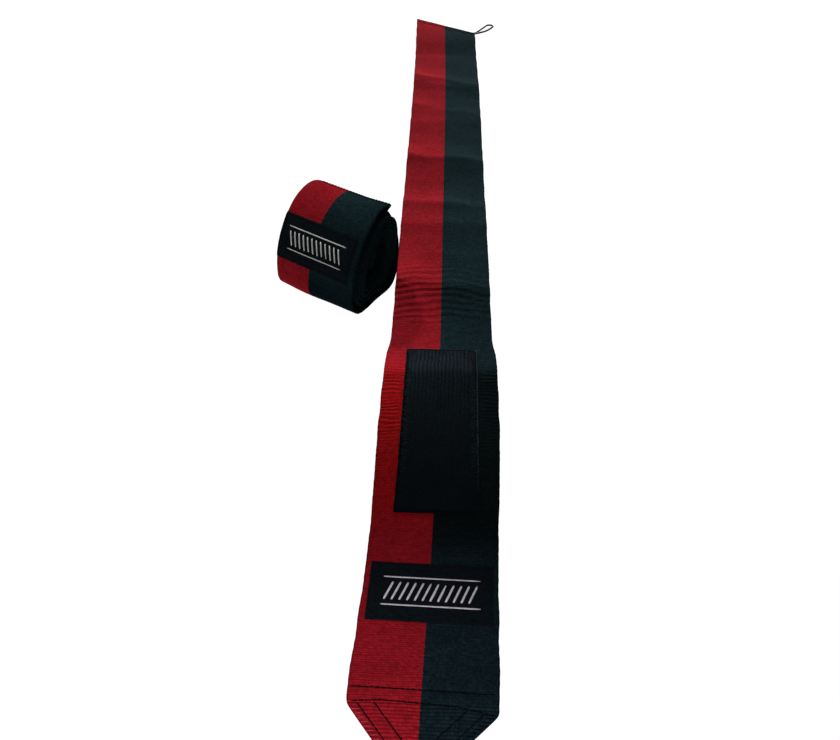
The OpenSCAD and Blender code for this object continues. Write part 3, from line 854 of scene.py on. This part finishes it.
def loops(name, surf, u0, u1, s0, s1, n0, count, seed):
    """Tiny loops of the pile, thicker along its frayed edges."""
    g = np.random.default_rng(seed)
    k = int(count * 0.6)
    u = np.concatenate([g.uniform(u0, u1, k), np.where(g.random(count - k) < 0.45, u0 + 1.2, u1 - 1.2) + g.normal(0, 1.1, count - k)])
    rim = np.arange(count) >= k
    # worn flat over the near half, where the tip has been pressed on and pulled off
    s = s1 - (s1 - s0) * np.where(rim, 0.80, 1.0) * g.random(count) ** np.where(rim, 1.35, 1.5)
    a = np.where(rim, g.uniform(-0.6, 0.6, count), g.uniform(0, np.pi, count))
    wide = np.where(rim, g.uniform(1.0, 2.3, count), g.uniform(0.6, 1.1, count))
    tall = g.uniform(0.22, 0.42, count) + np.where(rim, 0.12, 0)
    thick = np.where(rim, g.uniform(0.10, 0.19, count), 0.075) * np.clip((s - s0 + 25) / 75, 0.5, 1)
    th = np.linspace(0.05, np.pi - 0.05, 6)[None]
    uu = u[:, None] + (wide * np.cos(a))[:, None] * np.cos(th) / 2
    ss = s[:, None] + (wide * np.sin(a))[:, None] * np.cos(th) / 2
    nn = n0 - 0.12 - np.where(rim, 0.3, 0)[:, None] + tall[:, None] * np.sin(th)
    line = surf.pos(uu, ss, nn)
    side = np.cross(line[:, -1] - line[:, 0], surf.up(uu, ss, nn)[:, 2])
    side /= np.linalg.norm(side, axis=-1, keepdims=True)
    return tubes(name, line, np.repeat(side[:, None], 6, 1), np.repeat(thick[:, None], 6, 1), FUZZ, 4)


def tip_half(s, d):
    """Left and right half widths of the hook tape, d in from the tip's outline."""
    return smin(11.2 + 0.886 * s - d * 1.34, 38.5 - d, 1.6), smin(9.3 + 1.085 * s - d * 1.48, 38.5 - d, 1.6)


def hook_tape(prefix, surf):
    s = stations(0.9, 40, 1.9)
    left = rite = np.minimum(12 + 0.79 * s, plain(s) - 1.0)
    if not surf.mirrored:
        left, rite = tip_half(s, 0.9)
    u, f = columns((left + rite) / 2, 26)
    u = u / ((left + rite) / 2)[:, None] * np.where(u < 0, left[:, None], rite[:, None])
    f = np.repeat(f[None], len(s), 0) * np.interp(np.minimum(s - 0.9, 40 - s), EDGE, EDGE_F)[:, None]
    ss = np.repeat(s[:, None], u.shape[1], 1)
    base = slab(prefix + "hook_tape", surf.pos(u, ss, -0.21 + 0.2 * f), surf.pos(u, ss, -0.21 - 0.2 * f),
                np.stack([u, ss], -1), HOOK_BASE, surf.mirrored)
    g = np.random.default_rng(77)
    pins, ups = [], []
    for i, sv in enumerate(np.arange(2.2, 39.2, 1.55)):
        left = rite = float(plain(sv)) - 2.2
        if not surf.mirrored:
            left, rite = (float(x) for x in tip_half(sv, 2.0))
        for uv in np.arange(-left + (0.8 if i % 2 else 0), rite, 1.6):
            turn = g.normal(0, 0.25) + (np.pi if i % 2 else 0)
            x = np.array([0.0, 0.02, 0.05, 0.14, 0.32, 0.45, 0.44]) - 0.15
            n = np.array([-0.38, -0.52, -0.68, -0.80, -0.84, -0.76, -0.64])
            uu, s2 = uv + x * math.cos(turn), sv + x * math.sin(turn)
            pins.append(surf.pos(uu, s2, n))
            side = surf.pos(uv - math.sin(turn), sv + math.cos(turn), -0.4) - surf.pos(uv, sv, -0.4)
            ups.append(np.repeat(side[None], 7, 0))
    hooks = tubes(prefix + "hook_pins", np.array(pins), np.array(ups),
                  np.array([0.14, 0.12, 0.11, 0.10, 0.10, 0.09, 0.06]), HOOKS, 5)
    return base, hooks


def label_bars(name, surf):
    """A plain woven border on the label: slanted bars between two lines."""
    parts_v, parts_f, parts_uv, count = [], [], [], 0
    bars = [[(x - 2.2, 88.2), (x + 2.2, 98.8), 0.62] for x in np.linspace(-23.3, 23.9, 12)]
    bars += [[(-27.5, 85.2), (28.1, 85.2), 0.42], [(-27.5, 101.8), (28.1, 101.8), 0.42]]
    for (u0, s0), (u1, s1), h in bars:
        u0, u1 = u0 + surf.label_u - 0.3, u1 + surf.label_u - 0.3
        d = np.array([u1 - u0, s1 - s0])
        long = math.hypot(*d)
        d /= long
        x = np.array([-d[1], d[0]])
        m = max(6, int(long / 1.2))
        w = np.linspace(0, 1, m)
        wid = h * np.minimum(1, 0.72 + 6 * np.minimum(w, 1 - w))
        prof = np.array([-1, -0.9, -0.5, 0, 0.5, 0.9, 1])
        hgt = np.array([-0.06, 0.06, 0.14, 0.16, 0.14, 0.06, -0.06])
        u = u0 + d[0] * long * w[:, None] + x[0] * wid[:, None] * prof
        s = s0 + d[1] * long * w[:, None] + x[1] * wid[:, None] * prof
        fall = np.minimum(1, 0.25 + 5 * np.minimum(w, 1 - w))[:, None]
        top = surf.pos(u, s, 2.6 + hgt * fall)
        bot = surf.pos(u, s, 2.5)
        k = np.arange(m * 7).reshape(m, 7)
        o = m * 7
        a, b, c, e = k[:-1, :-1], k[:-1, 1:], k[1:, 1:], k[1:, :-1]
        fs = [np.stack([a, e, c, b], -1).reshape(-1, 4), np.stack([a, b, c, e], -1).reshape(-1, 4) + o]
        for q in (np.stack([k[:-1, 0], k[:-1, 0] + o, k[1:, 0] + o, k[1:, 0]], -1),
                  np.stack([k[:-1, -1], k[1:, -1], k[1:, -1] + o, k[:-1, -1] + o], -1),
                  np.stack([k[0, :-1], k[0, 1:], k[0, 1:] + o, k[0, :-1] + o], -1),
                  np.stack([k[-1, :-1], k[-1, :-1] + o, k[-1, 1:] + o, k[-1, 1:]], -1)):
            fs.append(q)
        q = np.concatenate(fs)
        parts_f.append((q[:, ::-1] if surf.mirrored else q) + count)
        parts_v += [top.reshape(-1, 3), bot.reshape(-1, 3)]
        along = np.stack([np.repeat((prof * h)[None], m, 0), np.repeat((w * long)[:, None], 7, 1)], -1).reshape(-1, 2)
        parts_uv += [along, along]
        count += 2 * m * 7
    return new_object(name, np.concatenate(parts_v), np.concatenate(parts_f).tolist(), BAR, np.concatenate(parts_uv))


def bar_thread():
    """Satin stitch: pale threads side by side across each bar."""
    m = Mat("satin_stitch")
    vec, x, w = m.uv()
    t = m.f("DIVIDE", m.f("ADD", w, m.f("MULTIPLY", x, 0.18)), 0.36)
    h = half_sine(m, t)
    tone = m.white(m.f("FLOOR", t), 1.0)
    # painted shade: the colour is darker between the threads of each bar
    shade = m.f("MULTIPLY", m.scale(h, 0.6, 1.05), m.scale(tone, 0.85, 1.1))
    return m.finish(
        m.mix(1.0, m.grey(shade), (0.74, 0.74, 0.71), "MULTIPLY"), m.scale(tone, 0.38, 0.55), h, 0.5, 0.0002,
        Specular_IOR_Level=0.05,
    )


BAR = bar_thread()


def spline(points, step):
    """A smooth line through points, re-spaced."""
    p = np.asarray(points, float)
    q = np.concatenate([[2 * p[0] - p[1]], p, [2 * p[-1] - p[-2]]])
    out = []
    for i in range(1, len(q) - 2):
        for t in np.linspace(0, 1, 16, endpoint=False):
            out.append(0.5 * (2 * q[i] + (q[i + 1] - q[i - 1]) * t
                              + (2 * q[i - 1] - 5 * q[i] + 4 * q[i + 1] - q[i + 2]) * t * t
                              + (3 * q[i] - q[i - 1] - 3 * q[i + 1] + q[i + 2]) * t ** 3))
    out = np.array(out + [p[-1]])
    along = np.concatenate([[0], np.cumsum(np.linalg.norm(np.diff(out, axis=0), axis=1))])
    at = np.linspace(0, along[-1], int(along[-1] / step) + 1)
    return np.stack([np.interp(at, along, out[:, k]) for k in range(out.shape[1])], 1)


LOOP_ROUTE = [(-2.4, 1.15), (1.5, 1.15), (5, 1.15), (9, 1.25), (12.5, 2), (15.5, 3.4), (18.5, 5), (22, 6.4), (26, 7.4),
              (30.5, 7.95), (35.5, 8.2), (40.2, 8.2), (42.5, 7.6), (44.3, 5.85), (44.9, 3.5), (44.3, 1.15), (42.5, -0.6),
              (40.2, -1.2), (35, -1.2), (29, -1.2), (23, -1.15), (17, -1.15), (11, -1.15), (6, -1.15), (1.5, -1.15),
              (-2.4, -1.15)]


def cord_piece(name, path, up):
    """A braided cord along path, its cover shaped as well as coloured."""
    sides = 20
    along = np.concatenate([[0], np.cumsum(np.linalg.norm(np.diff(path, axis=0), axis=1))])
    a = np.arange(sides) * 8.0 / sides
    one, two = along[:, None] / 1.5 + a, along[:, None] / 1.5 - a
    r = 1.02 + 0.08 * np.maximum(np.abs(np.sin(np.pi * one)), np.abs(np.sin(np.pi * two)))
    v, f = tube_mesh(path[None], up[None], r[None], sides)
    uv = np.stack([np.repeat(a[None], len(path), 0), np.repeat(along[:, None], sides, 1)], -1).reshape(-1, 2)
    return new_object(name, v, f, BRAID, uv)


# the cords come first
bend_x = float(bow(890))
route = np.array([[35.82 + a * 0.496 + b * 0.868 + bend_x, 480.79 + a * 0.868 - b * 0.496,
                   1.22 + 2.1 * (1 - float(sstep(0, 14, a)))] for a, b in LOOP_ROUTE])
path = spline(route, 0.5)
thumb = cord_piece("thumb_cord", path, np.repeat([[0, 0, 1.0]], len(path), 0))
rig.replaces(thumb, "thumb_loop")
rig.blend(thumb, "end_section", "thumb_loop",
         (MM * (36.2 + bend_x), MM * 481.5, 0.0019), (MM * (38.6 + bend_x), MM * 485.8, 0.0019))
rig.slot(thumb, "elastic_cord")
long = float(np.linalg.norm(np.diff(path, axis=0), axis=1).sum()) * MM
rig.cord(thumb, exit=(path[0] * MM).tolist(), length=round(long, 4), diameter=0.0022, far_end="object",
        stiffness="limp", lay="loose", path=(path * MM).tolist())

# inside the roll the loop goes down one wall of the hollow, round a wide corner, and lies along the bottom
wall, foot = np.array([-7.9, 35.4]), np.array([-13.2, 20.1])
down, over = (foot - wall) / np.linalg.norm(foot - wall), np.array([1.0, 0.02])
wide = 6.2
open_half = 0.5 * math.acos(-float(down @ over))
pivot = foot + (over - down) / np.linalg.norm(over - down) * wide / math.sin(open_half)
turned = math.atan2(*(foot - down * wide / math.tan(open_half) - pivot)[::-1])
core = [wall, wall + down * 3.5] + [
    pivot + wide * np.array([math.cos(turned + x), math.sin(turned + x)]) for x in np.linspace(0, math.pi - 2 * open_half, 7)
] + [np.array(x) for x in ((-1.0, 20.3), (3.4, 21.0), (8.2, 24.0), (12.6, 29.6), (16.4, 36.2), (18.5, 40.5))]
core = spline(core, 0.25)
inner, ups = [], []
for a, b in LOOP_ROUTE:
    u = 32 - 6 * min(1, max(0, a) / 24) + b
    i = min(int(round((a + 2.4) / 0.25)), len(core) - 2)
    step = core[i + 1] - core[max(0, i - 1)]
    step /= np.linalg.norm(step)
    inner.append(ROLL.C + u * ROLL.k * ROLL.AX + core[i, 0] * ROLL.PER + core[i, 1] * np.array([0, 0, 1.0]))
    ups.append(-step[1] * ROLL.PER + step[0] * np.array([0, 0, 1.0]))
path = spline(np.concatenate([inner, ups], 1), 0.5)
coiled = cord_piece("roll_thumb_cord", path[:, :3], path[:, 3:])
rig.ride(coiled, "rolled_wrap")
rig.replaces(coiled, "rolled_thumb_loop")
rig.slot(coiled, "elastic_cord")
long = float(np.linalg.norm(np.diff(path[:, :3], axis=0), axis=1).sum()) * MM
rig.cord(coiled, exit=(path[0, :3] * MM).tolist(), length=round(long, 4), diameter=0.0022, far_end="object",
        stiffness="limp", lay="loose", path=(path[:, :3] * MM).tolist())

# ------------------------------------------------------------------ the flat band in four lengths
Y = lambda s: (0.0, (s - MID) * MM, 0.002)
tip_s = np.unique(np.concatenate([EDGE, stations(2.0, 42, 0.8), stations(42, 184, 1.5), stations(184, 215, 0.6)]))
tip = band("tip_webbing", FLAT, tip_s, half_width, True, FLAT_TIP_ROWS, 40)
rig.replaces(tip, "closure_band", "patch_band")
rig.blend(tip, "patch_section", "closure_end", Y(131), Y(113))
near = band("patch_webbing", FLAT, np.unique(np.concatenate([stations(215, 285, 0.6), stations(285, 400, 1.2)])), half_width)
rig.replaces(near, "patch_band", "middle_band")
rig.blend(near, "middle_section", "patch_section", Y(303), Y(288))
mid = band("middle_webbing", FLAT, stations(400, 605, 1.7), half_width)
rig.replaces(mid, "middle_band", "far_band")
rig.blend(mid, "middle_section", "far_section", Y(497), Y(518))


def end_piece(name):
    """The last length with its slanted end folded under."""
    u, f = columns(half_width(np.array([800.0])), 32)
    u = u[0]
    fold = end_s(u) - 2.05 / END_E[0]
    rows_t, rows_b, rows_s = [], [], []
    rows = [[(-37, float(end_s(-37)) - 8 / END_E[0]), (36, float(end_s(36)) - 8 / END_E[0])]]
    for v in np.insert(np.linspace(0, 1, 176), 1, 0.00007):
        s = 605 + v * (fold - 605)
        hw = half_width(s)
        uu = u * (hw / half_width(np.array([800.0]))[0])
        dip = seam_dip(uu, s, rows)
        rows_t.append(FLAT.pos(uu, s, 1 + f - dip))
        rows_b.append(FLAT.pos(uu, s, 1 - 0.96 * f))
        rows_s.append(s)
    base = FLAT.pos(u, fold, 0)  # z here is the band's lower face, 2 above the hem's
    for ph in np.linspace(0, np.pi, 10)[1:-1]:
        for out, r in ((rows_t, 1 + f), (rows_b, 1 - 0.96 * f)):
            out.append(np.stack([base[:, 0], base[:, 1] + r * math.sin(ph) / END_E[0], base[:, 2] + r * math.cos(ph)], -1))
        rows_s.append(fold + 2 * ph)
    for back in np.linspace(0, 9.9, 7):
        s = fold - back / END_E[0]
        edge = 1.0 if back < 9.5 else 0.6
        p = FLAT.pos(u, s, -2.0)
        p[:, 2] = np.maximum(p[:, 2], FLAT.pos(u, fold, -2.0)[:, 2])
        rows_t.append(p + np.stack([0 * f, 0 * f, 1 - f * edge], -1))
        rows_b.append(p + np.stack([0 * f, 0 * f, 1 + 0.96 * f * edge], -1))
        rows_s.append(fold + 6.28 + back)
    top, bot, ss = np.array(rows_t), np.array(rows_b), np.array(rows_s)
    rim = np.repeat((u.max() - np.abs(u))[None], len(ss), 0)
    return slab(name, top, bot, np.stack([np.repeat(u[None], len(ss), 0), ss], -1), WEB, False, rim)


end = end_piece("end_webbing")
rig.replaces(end, "far_band", "end_band", "end_hem")
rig.blend(end, "far_section", "end_section", Y(707), Y(728))
for ob, size, cut, on in (
    (tip, (0.0776, 0.215), 0.0776 * 0.215 - 0.0258 * 0.032, ("hook_tape",)),
    (near, (0.0800, 0.185), None, ()),
    (mid, (0.0760, 0.205), None, ()),
    (end, (0.0760, 0.3335), 0.0760 * 0.3105, ()),
):
    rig.slot(ob, "webbing")
    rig.sheet(ob, flat=size, held="laid", area=cut)

# ------------------------------------------------------------------ patches, label and thread, flat and rolled
HEM_ROW = [[(-36.5, float(end_s(-36.5)) - 8 / END_E[0]), (35.5, float(end_s(35.5)) - 8 / END_E[0])]]


def pile_bulge(u, s):
    return 0.11 * np.sin(6.283 * (u + 0.9 * ripple(u, s, 22, 61)) / 2.6) + 0.06 * ripple(u, s, 3.2, 62) + 0.05 * ripple(u, s, 17, 63)


def tape_lip(u, s):
    """The tape's right selvedge stands up a little."""
    return 0.35 * np.exp(-(((u - 26.0) / 0.7) ** 2))


def label_sag(u, s):
    e = np.minimum(s - 76, 111 - s)
    return -0.12 * np.exp(-(((e - 1.4) / 0.7) ** 2)) + 0.05 * ripple(u, s, 24, 71) + 0.04 * ripple(u, s, 8, 72)


def dress(prefix, surf, bodies):
    """Everything that is sewn to a band."""
    patch_body, tip_body, old = bodies
    patch_on, label_on = (surf, surf) if surf.mirrored else (Sewn(1.0, 0.0), Sewn(2.3, 0.022))
    t = tape(prefix + "loop_tape", patch_on, -25.5, 26.5, 144, 286, 2.0, 2.5, TAPE, 1.6, tape_lip, 0.12)
    p = tape(prefix + "loop_pile", patch_on, -23.4, 24.4, 146.1, 283.9, 2.38, 3.02, PILE, 0.8, pile_bulge, 0.32)
    l = loops(prefix + "pile_loops", patch_on, -23.4, 24.4, 146.3, 283.7, 3.02, 4200, 81)
    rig.replaces(t, old + "loop_patch")
    rows = box_rows(-24.6, 25.6, 145.0, 285.0)
    st = stitches(prefix + "loop_tape_stitches", patch_on, rows, 2.5, seed=6)
    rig.replaces(st, old + "loop_patch_stitching")
    for ob, sl in ((t, "loop_tape"), (p, "loop_tape"), (l, "loop_tape"), (st, "thread")):
        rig.ride(ob, patch_body)
        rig.slot(ob, sl)
    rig.sheet(t, flat=(0.052, 0.142), held="stretched", with_pieces=[p, l])
    lu = surf.label_u
    lab = tape(prefix + "label_satin", label_on, lu - 35, lu + 35, 76, 111, 2.0, 2.6, SATIN, 1.4, label_sag, 0.05)
    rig.replaces(lab, old + "label")
    ls = stitches(prefix + "label_stitches", label_on, box_rows(lu - 33.6, lu + 33.6, 77.4, 109.6), 2.5, LABEL_THREAD,
                  pitch=2.6, length=2.1, seed=7)
    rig.replaces(ls, old + "label_stitching")
    bars = label_bars(prefix + "label_bars", label_on)
    for ob, sl in ((lab, "label_satin"), (ls, "thread"), (bars, "thread")):
        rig.ride(ob, tip_body[1])
        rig.slot(ob, sl)
    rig.sheet(lab, flat=(0.070, 0.035), held="stretched", with_pieces=[bars])
    base, pins = hook_tape(prefix, surf)
    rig.replaces(base, old + "hook_patch")
    ts = stitches(prefix + "tip_stitches", surf, TIP_ROWS if surf.mirrored else FLAT_TIP_ROWS, 1.70, seed=8)
    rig.replaces(ts, old + "tip_stitching")
    es = [edge_stitches(prefix + "edge_stitches_" + side, surf, m) for side, m in (("red", -1), ("dark", 1))]
    for ob, sl in ((base, "hook_tape"), (pins, "hook_tape"), (ts, "thread"), (es[0], "thread"), (es[1], "thread")):
        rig.ride(ob, tip_body[0])
        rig.slot(ob, sl)
    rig.sheet(base, flat=(0.0758, 0.0391), held="stretched", area=0.0758 * 0.0391 - 0.0252 * 0.031, with_pieces=[pins])


dress("", FLAT, ("patch_section", ("closure_end", "closure_end"), ""))
dress("roll_", ROLL, ("rolled_wrap", ("rolled_flap", "rolled_wrap"), "rolled_"))

hs = stitches("hem_stitches", FLAT, HEM_ROW, 1.72, seed=9)
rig.replaces(hs, "hem_stitching")


def bar_tack(name, surf, cu, cs, e, n, body, old, n0):
    """A dense zigzag of thread, nine by three millimetres."""
    lines, ups = [], []
    w = np.linspace(-1, 1, 7)
    for i in range(24):
        x = -4.3 + 8.6 * i / 23
        a = x + (0.16 if i % 2 else -0.16) * w
        b = 1.45 * w
        u, s = cu + a * e[0] + b * n[0], cs + a * e[1] + b * n[1]
        h = n0 + np.array([-0.25, 0.1, 0.2, 0.24, 0.2, 0.1, -0.25])
        lines.append(surf.pos(u, s, h))
        ups.append(surf.up(u, s, h))
    ob = tubes(name, np.array(lines), np.array(ups), STITCH_R * 0.85, THREAD)
    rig.ride(ob, body)
    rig.replaces(ob, old)
    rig.slot(ob, "thread")
    return ob


bar_tack("bar_tack_threads", FLAT, 32.5 - 3.6 * END_N[0], float(end_s(32.5)) - 3.6 * END_N[1], END_E, END_N,
         "end_section", "loop_bar_tack", 1.95)
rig.ride(hs, "end_section")
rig.slot(hs, "thread")

# ------------------------------------------------------------------ the rolled band
flap_s = np.unique(np.concatenate([EDGE, stations(2.0, 60, 1.3, (32, 38))]))
flap = band("roll_flap_webbing", ROLL, flap_s, plain, True, TIP_ROWS, 36)
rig.replaces(flap, "rolled_tip_band")
at = lambda s: (ROLL.pos(0, s, 1.0) * MM).tolist()
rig.blend(flap, "rolled_wrap", "rolled_flap", at(52), at(42))
spiral = band("roll_webbing", ROLL, stations(60, 902, 1.3), plain, False, (), 26)
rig.replaces(spiral, "rolled_band", "rolled_tip_band")
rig.ride(spiral, "rolled_wrap")
hem_u, hem_f = columns(np.full(10, 38.0), 26)
hem_s = np.repeat(np.linspace(890, 902, 10)[:, None], hem_u.shape[1], 1)
hem = slab("roll_hem", ROLL.pos(hem_u, hem_s, -1 + 0.94 * hem_f), ROLL.pos(hem_u, hem_s, -1 - 0.94 * hem_f),
           np.stack([hem_u + ROLL.tone, hem_s], -1), ROLL_WEB, True, 38 - np.abs(hem_u))
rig.replaces(hem, "rolled_hem")
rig.ride(hem, "rolled_wrap")
rhs = stitches("roll_hem_stitches", ROLL, [[(-36, 894.4), (36, 894.4)]], 2.0, seed=10)
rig.replaces(rhs, "rolled_hem_stitching")
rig.ride(rhs, "rolled_wrap")
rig.slot(rhs, "thread")
bar_tack("roll_bar_tack_threads", ROLL, 31.5, 897.5, (1, 0), (0, 1), "rolled_wrap", "rolled_bar_tack", 1.95)
for ob, size, cut in (
    (flap, (0.0740, 0.060), 0.0740 * 0.060 - 0.0250 * 0.032),
    (spiral, (0.0740, 0.842), None),
    (hem, (0.0740, 0.012), None),
):
    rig.slot(ob, "webbing")
    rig.sheet(ob, flat=size, held="folded", area=cut)

# ------------------------------------------------------------------ stage and light
floor_mat = Mat("floor")
grain = floor_mat.noise(floor_mat.place(), 3.0, 2)
floor_mat.finish((0.14, 0.14, 0.14), floor_mat.scale(grain, 0.85, 0.95), Specular_IOR_Level=0.0,
                 Emission_Color=(1.0, 1.0, 1.0, 1.0), Emission_Strength=0.985)
me = bpy.data.meshes.new("floor")
me.from_pydata([(-30, -30, -0.0004), (30, -30, -0.0004), (30, 30, -0.0004), (-30, 30, -0.0004)], [], [(0, 1, 2, 3)])
me.materials.append(floor_mat.m)
floor = bpy.data.objects.new("floor", me)
scene.collection.objects.link(floor)
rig.stage(floor)


def lamp(name, place, target, size, power, colour=(1, 1, 1)):
    d = bpy.data.lights.new(name, "AREA")
    d.shape, d.size, d.size_y, d.energy, d.color = "RECTANGLE", size[0], size[1], power, colour
    ob = bpy.data.objects.new(name, d)
    scene.collection.objects.link(ob)
    ob.matrix_world = Matrix.Translation(place) @ (Vector(target) - Vector(place)).to_track_quat("-Z", "Y").to_matrix().to_4x4()


lamp("front", (-0.05, -0.95, 0.36), (0, -0.35, 0), (0.4, 0.2), 0.35)


def spot(name, place, ahead, power, wide, soft, radius, colour=(1, 1, 1)):
    d = bpy.data.lights.new(name, "SPOT")
    d.energy, d.spot_size, d.spot_blend, d.shadow_soft_size = power, math.radians(wide), soft, radius
    d.color = colour
    ob = bpy.data.objects.new(name, d)
    scene.collection.objects.link(ob)
    ob.matrix_world = Matrix.Translation(place) @ Vector(ahead).to_track_quat("-Z", "Y").to_matrix().to_4x4()


spot("key", (0.4, 6.0, 1.55), (-0.03, -0.5, -0.866), 4150, 92.39, 0.0184, 0.01)
spot("near", (-0.05, -0.8, 0.6), (0.02, 0.35, -0.6), 18.6, 25, 0.6, 0.05, (1.08, 0.95, 1.08))
spot("top", (-0.29, 0.44, 0.62), (0.2, -0.47, -0.56), 24, 10.2, 0.7, 0.04)
spot("end", (0.13, 0.44, 0.62), (-0.19, -0.485, -0.55), 9.5, 5.0, 0.8, 0.02)
world = bpy.data.worlds.new("world")
scene.world = world
world.use_nodes = True
world.node_tree.nodes["Background"].inputs[0].default_value = (1, 1, 1, 1)
world.node_tree.nodes["Background"].inputs[1].default_value = 0.14
scene.view_settings.view_transform = "Standard"
scene.view_settings.look = "None"
scene.view_settings.exposure, scene.view_settings.gamma = 0.0, 1.0

with open("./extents.json", "w") as out:
    json.dump({"cad": [list(map(float, x)) for x in cad_box], "visual": [list(map(float, x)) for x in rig.bounds()]}, out)
